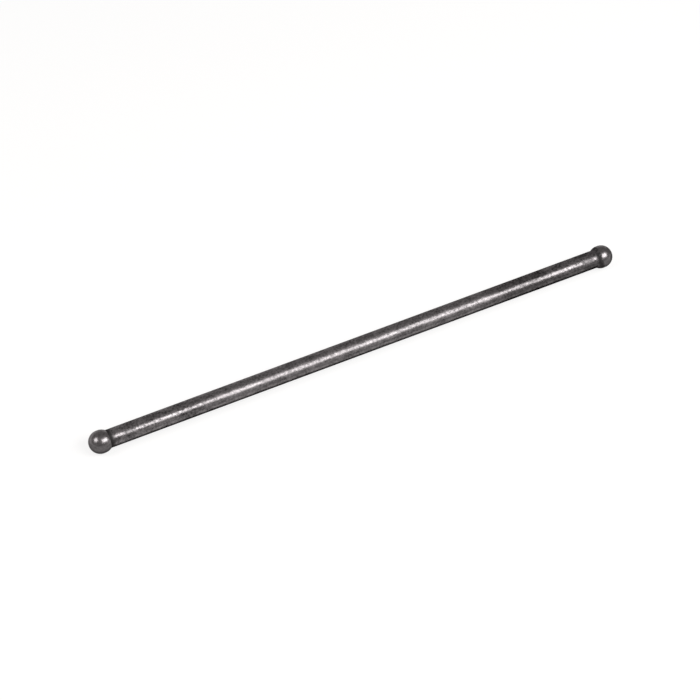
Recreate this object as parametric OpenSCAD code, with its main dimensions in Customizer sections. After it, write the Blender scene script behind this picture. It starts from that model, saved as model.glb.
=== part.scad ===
// Engine pushrod: one piece of steel bar with a ball headed on each end.
// It lies along X, with its origin on its own axis, midway between the two ball tips.

/* [Shank] */
// Length of the whole rod, from ball tip to ball tip
overall_length = 200; // [120:1:320]
// Diameter of the straight shank between the balls
shank_d = 6.35; // [4:0.05:7]

/* [Ball ends] */
// Diameter of each ball
ball_d = 8; // [7.5:0.05:12]
// Width of the parallel belt round the middle of each ball
belt_w = 0.45; // [0.05:0.05:1.5]
// Radius of the fillet where each ball runs into the shank
neck_fillet_r = 0.8; // [0.2:0.05:3]

/* [Hidden] */
$fn = 128;

shank_r = shank_d / 2;
ball_r = ball_d / 2;

// Distance from mid-length to the centre of a ball's spherical tip
tip_centre = overall_length / 2 - ball_r;
// Distance from mid-length to the centre of a ball's spherical back, which faces the shank
back_centre = tip_centre - belt_w;

// The neck fillet's circle touches both the shank and the ball's back,
// so its centre lies one fillet radius outside each of them
fillet_centre_r = shank_r + neck_fillet_r;
fillet_set_back = sqrt(pow(ball_r + neck_fillet_r, 2) - pow(fillet_centre_r, 2));
fillet_centre = back_centre - fillet_set_back;

// Every outline below is half of a lengthwise section: X is the radius, and Y runs along the axis

// Half disc on the outer side of the axis
module half_disc(r) {
    intersection() {
        circle(r = r);
        translate([0, -r])
            square([r, 2 * r]);
    }
}

// The straight shank, from mid-length to where it is buried in the ball
module shank_outline() {
    square([shank_r, back_centre]);
}

// The ball: a spherical tip and a spherical back, one belt width apart
module ball_outline() {
    translate([0, tip_centre])
        half_disc(ball_r);
    translate([0, back_centre])
        square([ball_r, belt_w]);
    translate([0, back_centre])
        half_disc(ball_r);
}

// The neck: the wedge between the two centres and the axis, hollowed by the fillet's own circle
module neck_outline() {
    difference() {
        polygon([[0, fillet_centre], [fillet_centre_r, fillet_centre], [0, back_centre]]);
        translate([fillet_centre_r, fillet_centre])
            circle(r = neck_fillet_r);
    }
}

// One end of the rod, from mid-length to its tip
module end_outline() {
    shank_outline();
    neck_outline();
    ball_outline();
}

// The whole rod, turned from its outline and laid along X
module pushrod() {
    color("dimgray")
        rotate([0, 90, 0])
            rotate_extrude()
                for (end = [0, 1])
                    mirror([0, end])
                        end_outline();
}

pushrod();
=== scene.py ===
# %% [markdown]
# # A turned steel pushrod
# An engine pushrod is a straight steel bar with a ball headed on each end. One ball sits in the cup
# of a tappet and the other in the cup of a rocker arm, and the bar between them carries the push.
# This lesson loads the solid of the rod, measures it, turns a fine mesh of the same form with
# Geometry Nodes, and gives it the finish of used, oily steel.

# %% Load the solid as a fixed frame
import math

import bmesh
import bpy
from mathutils import Matrix, Vector


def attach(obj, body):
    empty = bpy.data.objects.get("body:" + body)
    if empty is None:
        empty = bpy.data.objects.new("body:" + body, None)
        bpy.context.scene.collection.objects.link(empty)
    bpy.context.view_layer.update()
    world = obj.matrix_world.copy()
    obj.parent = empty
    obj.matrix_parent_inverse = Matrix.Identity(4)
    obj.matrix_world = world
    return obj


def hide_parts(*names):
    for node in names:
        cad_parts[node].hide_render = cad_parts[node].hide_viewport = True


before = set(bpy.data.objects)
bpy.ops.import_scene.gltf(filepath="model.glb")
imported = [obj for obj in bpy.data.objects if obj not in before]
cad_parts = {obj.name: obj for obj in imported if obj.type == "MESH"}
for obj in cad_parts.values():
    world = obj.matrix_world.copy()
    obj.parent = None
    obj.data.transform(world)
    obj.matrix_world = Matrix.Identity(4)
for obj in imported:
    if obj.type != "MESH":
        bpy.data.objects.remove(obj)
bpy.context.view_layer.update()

MM = 0.001

# %% [markdown]
# ## Measure the solid
# The dressed mesh has to keep the form of the solid, so its sizes are read off the solid instead of
# being written down twice. A turned part is known by a few of its rings: the widest rings bound the
# belt round the ball, and the narrowest ring between the balls is where the shank ends. The neck
# fillet touches both the shank and the ball's back, and that is enough to work out its radius.

# %% Read the sizes from the solid's rings
NODE = "pushrod"
RING_TOLERANCE = 0.001 * MM

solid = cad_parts[NODE].data
rings = [(abs(corner.co.x), math.hypot(corner.co.y, corner.co.z)) for corner in solid.vertices]
half_length = max(distance for distance, radius in rings)
ball_r = max(radius for distance, radius in rings)
belt = [distance for distance, radius in rings if radius > ball_r - RING_TOLERANCE]
tip_centre = max(belt)
back_centre = min(belt)
belt_w = tip_centre - back_centre
inner_rings = [(distance, radius) for distance, radius in rings if distance < back_centre]
shank_r = min(radius for distance, radius in inner_rings)
shank_end = min(distance for distance, radius in inner_rings)
fillet_set_back = back_centre - shank_end
neck_fillet_r = (fillet_set_back**2 + shank_r**2 - ball_r**2) / (2 * (ball_r - shank_r))
back_end = back_centre - fillet_set_back * ball_r / (ball_r + neck_fillet_r)

for title, size in (("length", 2 * half_length), ("ball", 2 * ball_r), ("belt", belt_w),
                    ("shank", 2 * shank_r), ("neck fillet radius", neck_fillet_r),
                    ("straight shank", 2 * shank_end)):
    print(f"{title}: {size / MM:.3f} mm")

# %% [markdown]
# ## The camera
# The rod is seen from above and from the left of square-on, so its left ball is nearer and the rod
# rises to the right. Its taper in the picture is small, which tells that the camera is far away
# behind a long lens. The view is written as an azimuth, an elevation and a distance, and the aim is
# a small offset in the picture's own plane, so that each number can be changed by itself.

# %% Set the camera
VIEW_AZIMUTH = math.radians(-27.0)
VIEW_ELEVATION = math.radians(46.6)
VIEW_DISTANCE = 1050 * MM
LENS_MM = 158.1
SENSOR_MM = 36
AIM_RIGHT = -2.64 * MM
AIM_UP = -1.16 * MM
FAR_CLIP = 20

to_camera = Vector((
    math.sin(VIEW_AZIMUTH) * math.cos(VIEW_ELEVATION),
    -math.cos(VIEW_AZIMUTH) * math.cos(VIEW_ELEVATION),
    math.sin(VIEW_ELEVATION),
))
view_right = Vector((math.cos(VIEW_AZIMUTH), math.sin(VIEW_AZIMUTH), 0))
view_up = to_camera.cross(view_right)

camera_data = bpy.data.cameras.new("camera")
camera_data.sensor_width = SENSOR_MM
camera_data.lens = LENS_MM
camera_data.clip_end = FAR_CLIP
camera = bpy.data.objects.new("camera", camera_data)
camera.location = AIM_RIGHT * view_right + AIM_UP * view_up + VIEW_DISTANCE * to_camera
camera.rotation_euler = (-to_camera).to_track_quat("-Z", "Y").to_euler()
bpy.context.scene.collection.objects.link(camera)
bpy.context.scene.camera = camera
print("camera at", [round(c, 4) for c in camera.location])

# %% [markdown]
# ## Node helpers
# Shaders, node groups and Geometry Nodes trees are all node trees. A few small helpers keep the
# building of them short: one adds a node and fills its sockets with values or links, and another
# does the same for a sum.

# %% Helpers that add nodes to a tree
def fill(tree, socket, value):
    """Links value to the socket if it is another node's output, and otherwise sets it."""
    if isinstance(value, bpy.types.NodeSocket):
        tree.links.new(value, socket)
    else:
        socket.default_value = value


def add(tree, kind, inputs=(), **settings):
    """A new node of that kind, with its settings made and its named inputs filled."""
    node = tree.nodes.new(kind)
    for title, value in settings.items():
        setattr(node, title, value)
    for title, value in dict(inputs).items():
        fill(tree, node.inputs[title], value)
    return node


def calc(tree, operation, *values):
    """The output of a Math node that works on values."""
    node = tree.nodes.new("ShaderNodeMath")
    node.operation = operation
    for socket, value in zip(node.inputs, values):
        fill(tree, socket, value)
    return node.outputs[0]


def scaled(tree, vector, share):
    """A vector or a colour, times share."""
    node = add(tree, "ShaderNodeVectorMath", operation="SCALE")
    fill(tree, node.inputs[0], vector)
    fill(tree, node.inputs["Scale"], share)
    return node.outputs[0]


# %% [markdown]
# ## The floor
# The rod lies on a plain white sheet, which runs flat under it and sweeps up into a low wall far
# behind it, as paper does on a photographer's table. The wall is out of the picture, but the steel
# mirrors it along its upper edge. A sheet that is white by its lamps alone would be as white as
# those lamps are strong, so its paint is a middling grey that catches the rod's shadow, and a
# steady glow lifts it to white. The glow shows only to the rays that look at the sheet straight or
# in the steel, so it adds no light to the rod.

# %% Lay the floor
FLOOR_REACH = 3.0
SWEEP_START = 1.2
SWEEP_R = 0.4
SWEEP_STEPS = 12
WALL_TOP = 0.5
FLOOR_COLOR = (0.245, 0.24, 0.235, 1)
FLOOR_LIFT = 0.79

sheet = [(-FLOOR_REACH, -ball_r)]
for step in range(SWEEP_STEPS + 1):
    bend = math.pi / 2 * step / SWEEP_STEPS
    sheet.append((SWEEP_START + SWEEP_R * math.sin(bend), SWEEP_R * (1 - math.cos(bend)) - ball_r))
sheet.append((SWEEP_START + SWEEP_R, WALL_TOP))
corners = [(side * FLOOR_REACH, y, z) for y, z in sheet for side in (-1, 1)]
strips = [(2 * row, 2 * row + 1, 2 * row + 3, 2 * row + 2) for row in range(len(sheet) - 1)]
floor_mesh = bpy.data.meshes.new("floor")
floor_mesh.from_pydata(corners, [], strips)
floor = bpy.data.objects.new("floor", floor_mesh)
bpy.context.scene.collection.objects.link(floor)

floor_paint = bpy.data.materials.new("white_table")
floor_paint.use_nodes = True
paint_tree = floor_paint.node_tree
paint_tree.nodes.clear()
ray = add(paint_tree, "ShaderNodeLightPath").outputs
looked_at = calc(paint_tree, "MAXIMUM", ray["Is Camera Ray"], ray["Is Glossy Ray"])
looked_at = calc(paint_tree, "MAXIMUM", looked_at, ray["Is Transmission Ray"])
matt = add(paint_tree, "ShaderNodeBsdfDiffuse", {"Color": FLOOR_COLOR})
lift = calc(paint_tree, "MULTIPLY", looked_at, FLOOR_LIFT)
glow = add(paint_tree, "ShaderNodeEmission", {"Strength": lift})
both = add(paint_tree, "ShaderNodeAddShader")
paint_tree.links.new(matt.outputs[0], both.inputs[0])
paint_tree.links.new(glow.outputs[0], both.inputs[1])
add(paint_tree, "ShaderNodeOutputMaterial", {"Surface": both.outputs[0]})
floor_mesh.materials.append(floor_paint)
print("floor at", round(-ball_r / MM, 2), "mm, where the balls rest on it")

# %% [markdown]
# ## The light
# Bare steel shows little but what it mirrors. The right softbox makes the long highlight, both
# softboxes make the spots on the balls, the table makes the lighter lower half, and the plain room
# above makes the dark upper half. The softboxes are close to the rod, as over a small table, so
# that the spots sit in different places on the two balls.

# %% Set the room and the softboxes
ROOM_LEVEL = 0.30
ROOM_COLOR = (1, 0.97, 0.96, 1)

world = bpy.data.worlds.new("room")
world.use_nodes = True
world.node_tree.nodes["Background"].inputs["Color"].default_value = ROOM_COLOR
world.node_tree.nodes["Background"].inputs["Strength"].default_value = ROOM_LEVEL
bpy.context.scene.world = world
bpy.context.scene.view_settings.view_transform = "Standard"


def softbox(title, place, long_side, short_side, radiance):
    """A lamp that faces the middle of the rod, with its long side along the rod.

    A flat lamp's watts are its radiance times its area times pi.
    """
    lamp = bpy.data.lights.new(title, "AREA")
    lamp.shape = "RECTANGLE"
    lamp.size = long_side
    lamp.size_y = short_side
    lamp.energy = radiance * long_side * short_side * math.pi
    out = Vector(place).normalized()
    side = (Vector((1, 0, 0)) - out.x * out).normalized()
    turn = Matrix((side, out.cross(side), out)).transposed()
    box = bpy.data.objects.new(title, lamp)
    box.matrix_world = Matrix.Translation(place) @ turn.to_4x4()
    box.visible_camera = False
    bpy.context.scene.collection.objects.link(box)
    print(f"{title}: {lamp.energy:.2f} W at", [round(c, 3) for c in place])


softbox("right_softbox", place=(0.225, -0.345, 0.428), long_side=0.47, short_side=0.30, radiance=6.5)
softbox("left_softbox", place=(-0.645, 0.025, 0.648), long_side=0.42, short_side=0.42, radiance=5.4)

# %% [markdown]
# ## Turn the rod
# A lathe turns an outline round an axis. Here the axis is a spine of points along X, and each point
# carries the radius that the outline has there, so a circle swept along the spine with that radius
# is the turned form. The points are worked out section by section: arcs for the ball's tip, its
# back and the neck fillet, and an even row for the shank. The belt needs no points of its own,
# because it runs straight from the tip's last ring to the back's first. Turning by Spin would need
# an outline made elsewhere, and a Screw modifier has no sizes to name. This tree has them all as
# inputs.

# %% Name the tree's inputs
turning = bpy.data.node_groups.new("Turned pushrod", "GeometryNodeTree")
SIZES = ("Half length", "Ball radius", "Belt width", "Shank radius", "Neck fillet radius", "Dent size",
         "Shank dents", "End dents", "Plain half", "Plain fade", "Seed")
COUNTS = ("Tip rings", "Back rings", "Fillet rings", "Shank rings", "Sides")
STEELS = ("Shank steel", "Ball steel")
turning.interface.new_socket("Geometry", in_out="INPUT", socket_type="NodeSocketGeometry")
for title in SIZES:
    turning.interface.new_socket(title, in_out="INPUT", socket_type="NodeSocketFloat")
for title in COUNTS:
    turning.interface.new_socket(title, in_out="INPUT", socket_type="NodeSocketInt")
for title in STEELS:
    turning.interface.new_socket(title, in_out="INPUT", socket_type="NodeSocketMaterial")
turning.interface.new_socket("Geometry", in_out="OUTPUT", socket_type="NodeSocketGeometry")
print("turning tree's inputs:", ", ".join(SIZES + COUNTS + STEELS))

# %% Work out where the arcs meet
size_of = add(turning, "NodeGroupInput").outputs
ball = size_of["Ball radius"]
fillet = size_of["Neck fillet radius"]
shank = size_of["Shank radius"]
tip_at = calc(turning, "SUBTRACT", size_of["Half length"], ball)
back_at = calc(turning, "SUBTRACT", tip_at, size_of["Belt width"])
fillet_out = calc(turning, "ADD", shank, fillet)
far_side = calc(turning, "POWER", calc(turning, "ADD", ball, fillet), 2.0)
near_side = calc(turning, "POWER", fillet_out, 2.0)
set_back = calc(turning, "SQRT", calc(turning, "SUBTRACT", far_side, near_side))
fillet_at = calc(turning, "SUBTRACT", back_at, set_back)
meeting = calc(turning, "ARCTAN2", fillet_out, set_back)
back_stop = calc(turning, "SUBTRACT", math.pi, meeting)
fillet_start = calc(turning, "MULTIPLY", meeting, -1.0)
index = add(turning, "GeometryNodeInputIndex").outputs[0]
print("turning tree with its meeting points:", len(turning.nodes), "nodes")


# %% Put a ring at each point of the spine
def ring_points(count, distance, radius):
    """Points on the spine, each with the radius of the ring that stands on it."""
    spot = add(turning, "ShaderNodeCombineXYZ", {"X": distance}).outputs[0]
    row = add(turning, "GeometryNodePoints", {"Count": count, "Position": spot, "Radius": radius})
    return row.outputs[0]


def arc_section(end, count, last, centre_at, centre_out, arc_r, start, stop):
    """The rings of one arc of the outline, at the end given by 1 or -1, up to the index last."""
    share = calc(turning, "DIVIDE", index, last)
    angle = calc(turning, "MULTIPLY_ADD", calc(turning, "SUBTRACT", stop, start), share, start)
    distance = calc(turning, "MULTIPLY_ADD", arc_r, calc(turning, "COSINE", angle), centre_at)
    radius = calc(turning, "MULTIPLY_ADD", arc_r, calc(turning, "SINE", angle), centre_out)
    return ring_points(count, calc(turning, "MULTIPLY", distance, float(end)), radius)


QUARTER = math.pi / 2
spine = add(turning, "GeometryNodeJoinGeometry")
tips = size_of["Tip rings"]
backs = size_of["Back rings"]
fillets = size_of["Fillet rings"]
tip_last = calc(turning, "SUBTRACT", tips, 1.0)
for end in (1, -1):
    sections = (
        arc_section(end, tips, tip_last, tip_at, 0.0, ball, 0.0, QUARTER),
        arc_section(end, backs, backs, back_at, 0.0, ball, QUARTER, back_stop),
        arc_section(end, fillets, fillets, fillet_at, fillet_out, fillet, fillet_start, -QUARTER),
    )
    for section in sections:
        turning.links.new(section, spine.inputs[0])
shank_last = calc(turning, "SUBTRACT", size_of["Shank rings"], 1.0)
shank_share = calc(turning, "MULTIPLY_ADD", calc(turning, "DIVIDE", index, shank_last), 2.0, -1.0)
shank_place = calc(turning, "MULTIPLY", shank_share, fillet_at)
turning.links.new(ring_points(size_of["Shank rings"], shank_place, shank), spine.inputs[0])
print("turning tree with its spine:", len(turning.nodes), "nodes")

# %% Sweep the circle and close the poles
POLE_GAP = 0.001 * MM
position = add(turning, "GeometryNodeInputPosition").outputs[0]
down_the_bar = add(turning, "ShaderNodeSeparateXYZ", {"Vector": position}).outputs["X"]
line = add(turning, "GeometryNodePointsToCurves", {"Points": spine.outputs[0], "Weight": down_the_bar})
circle = add(turning, "GeometryNodeCurvePrimitiveCircle", {
    "Resolution": size_of["Sides"], "Radius": 1.0,
})
ring_radius = add(turning, "GeometryNodeInputRadius").outputs[0]
skin = add(turning, "GeometryNodeCurveToMesh", {
    "Curve": line.outputs[0], "Profile Curve": circle.outputs[0], "Scale": ring_radius,
})
closed = add(turning, "GeometryNodeMergeByDistance", {"Geometry": skin.outputs[0], "Distance": POLE_GAP})
print("turning tree with its skin:", len(turning.nodes), "nodes")

# %% [markdown]
# ## Dents
# No used bar is a perfect mirror. Its highlight breaks up because the surface is uneven by about a
# hundredth of a millimetre, and more so near the ends, which were heated and struck when the balls
# were headed. A bump map would show that in a render only, so the mesh itself is moved along its
# normals by a fine noise. The noise has a fourth coordinate, which serves as its seed. The ground
# domes of the balls stay true.

# %% Dent the shank
DENT_DETAIL = 1.0
DENT_ROUGHNESS = 0.5
NOISE_MEAN = 0.5

from_middle = calc(turning, "ABSOLUTE", down_the_bar)
dent_scale = calc(turning, "DIVIDE", 1.0, size_of["Dent size"])
dents = add(turning, "ShaderNodeTexNoise", {
    "Vector": position, "W": size_of["Seed"], "Scale": dent_scale, "Detail": DENT_DETAIL,
    "Roughness": DENT_ROUGHNESS,
}, noise_dimensions="4D").outputs[0]
fade_end = calc(turning, "ADD", size_of["Plain half"], size_of["Plain fade"])
depth = add(turning, "ShaderNodeMapRange", {
    "Value": from_middle, "From Min": size_of["Plain half"], "From Max": fade_end,
    "To Min": size_of["Shank dents"], "To Max": size_of["End dents"],
}).outputs[0]
trueness = add(turning, "ShaderNodeMapRange", {
    "Value": from_middle, "From Min": back_at, "From Max": fillet_at, "To Min": 0.0, "To Max": 1.0,
}).outputs[0]
depth = calc(turning, "MULTIPLY", depth, trueness)
rise = calc(turning, "MULTIPLY", calc(turning, "SUBTRACT", dents, NOISE_MEAN), depth)
outwards = add(turning, "GeometryNodeInputNormal").outputs[0]
dented = add(turning, "GeometryNodeSetPosition", {
    "Geometry": closed.outputs[0], "Offset": scaled(turning, outwards, rise),
})
print("turning tree with its dents:", len(turning.nodes), "nodes")

# %% Give each part of the bar its steel and end the tree
smooth = add(turning, "GeometryNodeSetShadeSmooth", {"Geometry": dented.outputs[0]})
real = add(turning, "GeometryNodeRealizeInstances", {"Geometry": smooth.outputs[0]})
bar = add(turning, "GeometryNodeSetMaterial", {
    "Geometry": real.outputs[0], "Material": size_of["Shank steel"],
})
headed = add(turning, "GeometryNodeSetMaterial", {
    "Geometry": bar.outputs[0], "Selection": calc(turning, "GREATER_THAN", from_middle, fillet_at),
    "Material": size_of["Ball steel"],
})
add(turning, "NodeGroupOutput", {"Geometry": headed.outputs[0]})
print("whole turning tree:", len(turning.nodes), "nodes")

# %% [markdown]
# ## What dark steel is made of
# The rod is dark because a thin skin of oxide and oil lies on it. That skin is worn into fine
# grains and pits, it is drawn out in faint lines along the bar, and it is darker where the ends
# were heated. Both steels of the rod have all of that in their own measure, so each effect is a
# node group that is built once. The groups read Object coordinates, which are metres on the rod
# itself, so every grain keeps its real size.

# %% Helpers for shader groups
NOISE_ROUGHNESS = 0.6


def shader_group(title, inputs, outputs):
    """A new shader node group, its input node's outputs and its output node's inputs."""
    group = bpy.data.node_groups.new(title, "ShaderNodeTree")
    for label, kind in inputs.items():
        group.interface.new_socket(label, in_out="INPUT", socket_type="NodeSocket" + kind)
    for label, kind in outputs.items():
        group.interface.new_socket(label, in_out="OUTPUT", socket_type="NodeSocket" + kind)
    return group, add(group, "NodeGroupInput").outputs, add(group, "NodeGroupOutput").inputs


def noise(tree, place, size, detail, stretch=(1, 1, 1)):
    """Noise about zero with grains of about size metres, drawn out where stretch is below 1."""
    drawn = add(tree, "ShaderNodeVectorMath", operation="MULTIPLY")
    fill(tree, drawn.inputs[0], place)
    fill(tree, drawn.inputs[1], stretch)
    grain = add(tree, "ShaderNodeTexNoise", {
        "Vector": drawn.outputs[0], "Scale": 1 / size, "Detail": detail, "Roughness": NOISE_ROUGHNESS,
    })
    return calc(tree, "SUBTRACT", grain.outputs[0], NOISE_MEAN)


def ramp(tree, value, low, high, to_low=0.0, to_high=1.0):
    """value eased from to_low at low to to_high at high."""
    eased = add(tree, "ShaderNodeMapRange", {
        "Value": value, "From Min": low, "From Max": high, "To Min": to_low, "To Max": to_high,
    }, interpolation_type="SMOOTHSTEP")
    return eased.outputs[0]


# %% [markdown]
# ## The worn skin
# Four noises make the skin. Grains and broad patches change its shade, and faint lines run along
# the bar where it was drawn through a die. The last are the marks of grinding, which run round the
# bar. They are too fine to be seen one by one, but they tilt the surface lengthwise, which draws
# the softbox's reflection out along the whole bar. Deep grains are pits that hold dirt.

# %% Build the worn skin group
GRAIN_SIZE = 0.75 * MM
GRAIN_SHARE = 1.3
PATCH_SIZE = 4 * MM
PATCH_SHARE = 0.7
DRAW_LINE_SIZE = 0.35 * MM
DRAW_LINE_SHARE = 0.5
DRAW_LINE_HEIGHT = 0.6
GRINDING_SIZE = 0.12 * MM
GRINDING_HEIGHT = 9.0
LONG_MARKS = (0.03, 1, 1)
ROUND_MARKS = (1, 0.03, 0.03)
PIT_SIZE = 0.5 * MM
PIT_LEVELS = (0.18, 0.26)
DARKEST_SHADE = 0.25

worn_skin, skin_in, skin_out = shader_group(
    "Worn skin", {"Position": "Vector", "Mottle": "Float"},
    {"Shade": "Float", "Pits": "Float", "Height": "Float"})
spot = skin_in["Position"]
grains = noise(worn_skin, spot, GRAIN_SIZE, detail=2.0)
patches = noise(worn_skin, spot, PATCH_SIZE, detail=2.0)
draw_lines = noise(worn_skin, spot, DRAW_LINE_SIZE, detail=2.0, stretch=LONG_MARKS)
grinding = noise(worn_skin, spot, GRINDING_SIZE, detail=1.0, stretch=ROUND_MARKS)
spread = calc(worn_skin, "MULTIPLY", grains, GRAIN_SHARE)
spread = calc(worn_skin, "MULTIPLY_ADD", patches, PATCH_SHARE, spread)
spread = calc(worn_skin, "MULTIPLY_ADD", draw_lines, DRAW_LINE_SHARE, spread)
shade = calc(worn_skin, "MULTIPLY_ADD", spread, skin_in["Mottle"], 1.0)
worn_skin.links.new(calc(worn_skin, "MAXIMUM", shade, DARKEST_SHADE), skin_out["Shade"])
pits = ramp(worn_skin, noise(worn_skin, spot, PIT_SIZE, detail=1.0), *PIT_LEVELS)
worn_skin.links.new(pits, skin_out["Pits"])
height = calc(worn_skin, "MULTIPLY_ADD", draw_lines, DRAW_LINE_HEIGHT, grains)
height = calc(worn_skin, "MULTIPLY_ADD", grinding, GRINDING_HEIGHT, height)
worn_skin.links.new(height, skin_out["Height"])
print("group:", worn_skin.name, len(worn_skin.nodes), "nodes")

# %% [markdown]
# ## The marks at the ends, and painted shade
# Heading a ball needs heat, so the bar near both balls carries a skin of scale that is glossier and
# more mottled than the ground middle. At the right end the tone is darker as well, more so the lower
# it lies on the bar, and least of all on top next to the ball. Painted shade darkens both flanks of
# the rod in a dark band and darkens its underside, and a lighter band just below the flank shade on
# the shank is a painted reflection of the table. A dark ring sits in the corner of each neck, partly
# dirt and partly painted shade in that hollow: at the left a narrow ring on the fillet, and at the
# right a patchy ring, a little askew, that also covers the ball's back up to the edge of the dome
# that works in its cup. A band of soot lies on the bar a little before the right neck, and the tip
# of the right ball is dull. The marks follow the distance along the bar, the painted shade follows
# the height on it, and a noise makes the borders wander.

# %% Build the end marks group
WANDER_SIZE = 9 * MM
WANDER = 30 * MM
FINE_WANDER_SIZE = 1.2 * MM
FINE_WANDER = 0.8 * MM

# A pair is where a mark starts to change and where its change is complete: along the bar in metres,
# by lowness, which runs from -1 at the bar's top to 1 at its foot, or by a noise. A four adds the
# mark's share at both.
RIGHT_SCALE = (44 * MM, 60 * MM)
LEFT_SCALE = (-46 * MM, -66 * MM)
# The right end's darker tone grows towards the bar's foot and is least on top next to the ball.
RIGHT_TONE_BY_LOWNESS = (-0.58, -0.22)
RIGHT_TONE_ON_TOP = (70 * MM, 80 * MM, 0.85, 0.30)
# Painted shade: a dark band on each flank, less of it just below as a painted reflection of the table,
# and more painted shade underneath.
FLANK_SHADE_TOP = (-0.55, -0.30)
FLANK_SHADE_FOOT = (-0.30, -0.05)
UNDERSIDE_SHADE = (0.0, 0.20)
# The neck rings are partly dirt and partly painted shade in the hollow of each neck.
LEFT_RING = (-back_end - 0.1 * MM, -back_end + 0.15 * MM)
LEFT_RING_FADE = (-back_end + 0.4 * MM, -shank_end + 2.0 * MM)
RIGHT_RING = (shank_end - 0.8 * MM, shank_end + 1.1 * MM)
RIGHT_RING_SKEW = 0.25 * MM
RIGHT_RING_PATCH_SIZE = 0.9 * MM
RIGHT_RING_PATCHES = (-0.16, 0.08, 0.6, 1.0)
DOME_EDGE = (tip_centre - 1.4 * MM, tip_centre - 0.5 * MM)
SOOT = (tip_centre - 9.3 * MM, tip_centre - 8.3 * MM)
SOOT_END = (tip_centre - 4.8 * MM, tip_centre - 4.0 * MM)
SOOT_SHARE = 0.4
DULL_TIP = (tip_centre + 1.2 * MM, tip_centre + 2.6 * MM, 0.0, 0.5)

end_marks, mark_in, mark_out = shader_group(
    "End marks", {"Position": "Vector", "Radius": "Float", "Lighter band": "Float"},
    {"Scale": "Float", "Heat": "Float", "Flank shade": "Float", "Underside shade": "Float", "Dirt and neck shade": "Float"})
spot = mark_in["Position"]
coordinates = add(end_marks, "ShaderNodeSeparateXYZ", {"Vector": spot}).outputs
distance = coordinates["X"]
height = calc(end_marks, "DIVIDE", coordinates["Z"], mark_in["Radius"])
lowness = calc(end_marks, "MULTIPLY", height, -1.0)
drift = noise(end_marks, spot, WANDER_SIZE, detail=2.0)
blurred = calc(end_marks, "MULTIPLY_ADD", drift, WANDER, distance)
fine_drift = noise(end_marks, spot, FINE_WANDER_SIZE, detail=2.0)
ragged = calc(end_marks, "MULTIPLY_ADD", fine_drift, FINE_WANDER, distance)

right_scale = ramp(end_marks, blurred, *RIGHT_SCALE)
left_scale = ramp(end_marks, blurred, *LEFT_SCALE)
end_marks.links.new(calc(end_marks, "ADD", left_scale, right_scale), mark_out["Scale"])
on_top = ramp(end_marks, blurred, *RIGHT_TONE_ON_TOP)
# The darker tone at the right end is stronger the lower the surface lies.
heat = calc(end_marks, "MULTIPLY", right_scale, ramp(end_marks, lowness, *RIGHT_TONE_BY_LOWNESS, on_top, 1.0))
end_marks.links.new(heat, mark_out["Heat"])
# Painted shade on the flanks and the underside, with a lighter band below the flanks that is a painted
# reflection of the table.
lighter_band = calc(end_marks, "MULTIPLY", ramp(end_marks, lowness, *FLANK_SHADE_FOOT), mark_in["Lighter band"])
flank_shade = calc(end_marks, "SUBTRACT", ramp(end_marks, lowness, *FLANK_SHADE_TOP), lighter_band)
end_marks.links.new(flank_shade, mark_out["Flank shade"])
end_marks.links.new(ramp(end_marks, lowness, *UNDERSIDE_SHADE), mark_out["Underside shade"])

# Dark rings in the neck corners: partly dirt, partly painted shade in those hollows.
left_ring = calc(end_marks, "MULTIPLY", ramp(end_marks, distance, *LEFT_RING),
                 ramp(end_marks, ragged, *LEFT_RING_FADE, 1.0, 0.0))
askew = calc(end_marks, "MULTIPLY_ADD", lowness, -RIGHT_RING_SKEW, ragged)
right_ring = calc(end_marks, "MULTIPLY", ramp(end_marks, askew, *RIGHT_RING),
                  ramp(end_marks, askew, *DOME_EDGE, 1.0, 0.0))
speckle = noise(end_marks, spot, RIGHT_RING_PATCH_SIZE, detail=2.0)
cover = ramp(end_marks, speckle, *RIGHT_RING_PATCHES)
right_ring = calc(end_marks, "MULTIPLY", right_ring, cover)
soot = calc(end_marks, "MULTIPLY", ramp(end_marks, ragged, *SOOT),
            ramp(end_marks, ragged, *SOOT_END, SOOT_SHARE, 0.0))
right_dirt_and_shade = calc(end_marks, "MAXIMUM", right_ring, soot)
right_dirt_and_shade = calc(end_marks, "MAXIMUM", right_dirt_and_shade, ramp(end_marks, ragged, *DULL_TIP))
dirt_and_neck_shade = calc(end_marks, "ADD", left_ring, right_dirt_and_shade)
end_marks.links.new(dirt_and_neck_shade, mark_out["Dirt and neck shade"])
print("group:", end_marks.name, len(end_marks.nodes), "nodes")

# %% [markdown]
# ## The two steels
# The shank and the balls are the same metal, but the shank is drawn and ground along its length,
# and the balls are ground last of all. So the shank is the more mottled of the two, and it darkens
# more towards its edges. In each, the colour is a clean tone that turns to a heated tone at the
# right end, times the shade of the skin and the painted shade on the flanks and underside, and then
# to grime in the pits and to the neck rings, which are partly dirt and partly painted shade. Dirt is
# also duller than steel, so the same masks drive the roughness.

# %% Mix the steels
# Dark colour for dirt in the pits and for the neck rings, which are partly painted shade.
DIRT_AND_NECK_SHADE = (0.033, 0.031, 0.031, 1)
GRIME_ROUGHNESS = 0.75
DIRT_AND_NECK_SHADE_COVER = 0.9
PIT_COVER = 0.5
PIT_DULLNESS = 0.3

# The Mix node has colour and number sockets of the same name, so its colour sockets go by index.
MIX_FIRST = 6
MIX_SECOND = 7
MIX_RESULT = 2


def tint(tree, share, first, second):
    """A colour between first and second, by a share that changes over the surface."""
    mix = add(tree, "ShaderNodeMix", data_type="RGBA")
    fill(tree, mix.inputs["Factor"], share)
    fill(tree, mix.inputs[MIX_FIRST], first)
    fill(tree, mix.inputs[MIX_SECOND], second)
    return mix.outputs[MIX_RESULT]


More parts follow.
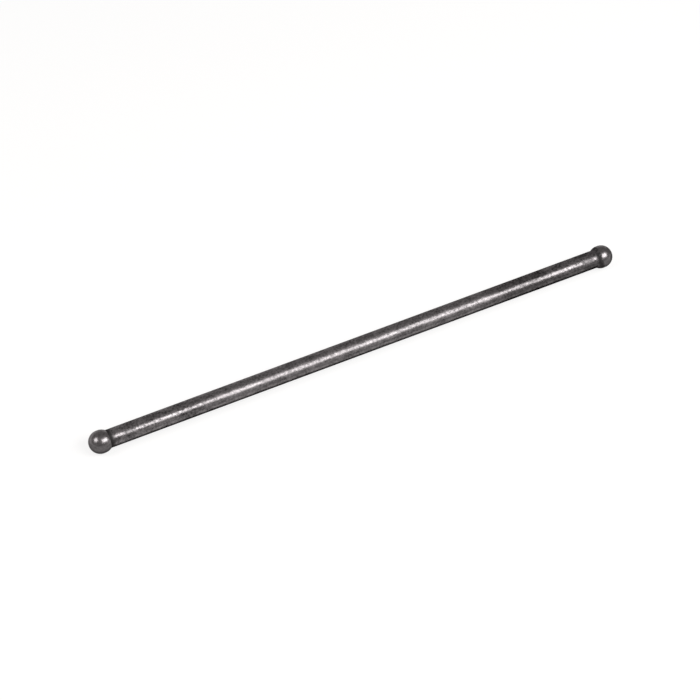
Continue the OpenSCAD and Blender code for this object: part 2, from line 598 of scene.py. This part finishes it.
def dark_steel(title, radius, clean, heated, mottle, scale_mottle, roughness, scale_roughness,
               flank_shade, lighter_band, underside_shade, edge, grain_height):
    """Steel under a worn dark skin.

    mottle and roughness hold for the ground middle, scale_mottle and scale_roughness for the scaled
    ends. flank_shade and underside_shade are the shares of painted shade on the flanks and the
    underside, lighter_band is the share of the flank shade taken off just below it as a painted
    reflection of the table, and edge is the tint of the rim.
    """
    steel = bpy.data.materials.new(title)
    steel.use_nodes = True
    tree = steel.node_tree
    gloss = tree.nodes["Principled BSDF"]
    gloss.inputs["Metallic"].default_value = 1.0
    gloss.inputs["Specular Tint"].default_value = (edge, edge, edge, 1)
    spot = add(tree, "ShaderNodeTexCoord").outputs["Object"]
    marks = add(tree, "ShaderNodeGroup", node_tree=end_marks)
    fill(tree, marks.inputs["Position"], spot)
    fill(tree, marks.inputs["Radius"], radius)
    fill(tree, marks.inputs["Lighter band"], lighter_band)
    mark = marks.outputs
    worn = add(tree, "ShaderNodeGroup", node_tree=worn_skin)
    fill(tree, worn.inputs["Position"], spot)
    fill(tree, worn.inputs["Mottle"], ramp(tree, mark["Scale"], 0.0, 1.0, mottle, scale_mottle))
    wear = worn.outputs

    # The painted shade on the flanks and the underside takes a share off the colour.
    painted_shading = calc(tree, "MULTIPLY_ADD", mark["Flank shade"], -flank_shade, 1.0)
    painted_shading = calc(tree, "MULTIPLY_ADD", mark["Underside shade"], -underside_shade, painted_shading)
    tone = tint(tree, mark["Heat"], clean, heated)
    shaded = scaled(tree, tone, calc(tree, "MULTIPLY", wear["Shade"], painted_shading))
    pitted = tint(tree, calc(tree, "MULTIPLY", wear["Pits"], PIT_COVER), shaded, DIRT_AND_NECK_SHADE)
    # The neck rings bring dirt and painted shade into the colour.
    dirt_and_neck_shaded = tint(tree, calc(tree, "MULTIPLY", mark["Dirt and neck shade"], DIRT_AND_NECK_SHADE_COVER), pitted, DIRT_AND_NECK_SHADE)
    fill(tree, gloss.inputs["Base Color"], dirt_and_neck_shaded)
    bare = ramp(tree, mark["Scale"], 0.0, 1.0, roughness, scale_roughness)
    dirt = calc(tree, "MAXIMUM", calc(tree, "MULTIPLY", wear["Pits"], PIT_DULLNESS), mark["Dirt and neck shade"])
    fill(tree, gloss.inputs["Roughness"], ramp(tree, dirt, 0.0, 1.0, bare, GRIME_ROUGHNESS))
    bump = add(tree, "ShaderNodeBump", {
        "Height": wear["Height"], "Distance": grain_height, "Strength": 1.0,
    })
    fill(tree, gloss.inputs["Normal"], bump.outputs[0])
    print("steel:", title, len(tree.nodes), "nodes")
    return steel


# Each steel has its own shares of painted shade on the flanks and the underside.
shank_steel = dark_steel(
    "shank_steel", radius=shank_r, clean=(0.213, 0.200, 0.203, 1), heated=(0.120, 0.113, 0.114, 1),
    mottle=1.7, scale_mottle=2.1, roughness=0.38, scale_roughness=0.30,
    flank_shade=0.50, lighter_band=0.54, underside_shade=0.43, edge=0.10, grain_height=0.004 * MM)
ball_steel = dark_steel(
    "ball_steel", radius=ball_r, clean=(0.220, 0.206, 0.209, 1), heated=(0.206, 0.193, 0.196, 1),
    mottle=0.8, scale_mottle=0.8, roughness=0.29, scale_roughness=0.29,
    flank_shade=0.46, lighter_band=0.0, underside_shade=0.20, edge=0.45, grain_height=0.0003 * MM)

# %% [markdown]
# ## Run the lathe
# A Geometry Nodes tree works as a modifier on some object, so an empty blank carries it. Its inputs
# are set by their sockets' identifiers, from the sizes that were measured. The result is kept as a
# plain mesh, and the blank goes away. The mesh then has its faces turned outwards, and its open
# edges and its volume are counted, because a part that is to be used again has to be closed.

# %% Run the tree and keep its result as a plain mesh
blank = bpy.data.objects.new("blank", bpy.data.meshes.new("blank"))
bpy.context.scene.collection.objects.link(blank)
lathe = blank.modifiers.new("lathe", "NODES")
lathe.node_group = turning
wanted = {
    "Half length": half_length, "Ball radius": ball_r, "Belt width": belt_w, "Shank radius": shank_r,
    "Neck fillet radius": neck_fillet_r, "Dent size": 1.0 * MM, "Shank dents": 0.019 * MM,
    "End dents": 0.036 * MM, "Plain half": 34 * MM, "Plain fade": 14 * MM, "Seed": 0.0,
    "Tip rings": 40, "Back rings": 12, "Fillet rings": 10, "Shank rings": 800, "Sides": 96,
    "Shank steel": shank_steel, "Ball steel": ball_steel,
}
for item in turning.interface.items_tree:
    if item.in_out == "INPUT" and item.name in wanted:
        lathe[item.identifier] = wanted[item.name]

bpy.context.view_layer.update()
turned = blank.evaluated_get(bpy.context.evaluated_depsgraph_get())
rod_mesh = bpy.data.meshes.new_from_object(turned)
bpy.data.objects.remove(blank)
print("turned mesh:", len(rod_mesh.vertices), "corners,", len(rod_mesh.materials), "steels")

# %% Turn its faces outwards and hand it over
whole = bmesh.new()
whole.from_mesh(rod_mesh)
bmesh.ops.recalc_face_normals(whole, faces=whole.faces)
triangles = sum(len(face.verts) - 2 for face in whole.faces)
open_edges = sum(not edge.is_manifold for edge in whole.edges)
volume = whole.calc_volume() / MM**3
print(f"turned rod: {triangles} triangles, {open_edges} open edges, {volume:.1f} mm3")
whole.to_mesh(rod_mesh)
whole.free()

rod = bpy.data.objects.new("steel_pushrod", rod_mesh)
bpy.context.scene.collection.objects.link(rod)
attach(rod, "root")
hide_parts(NODE)
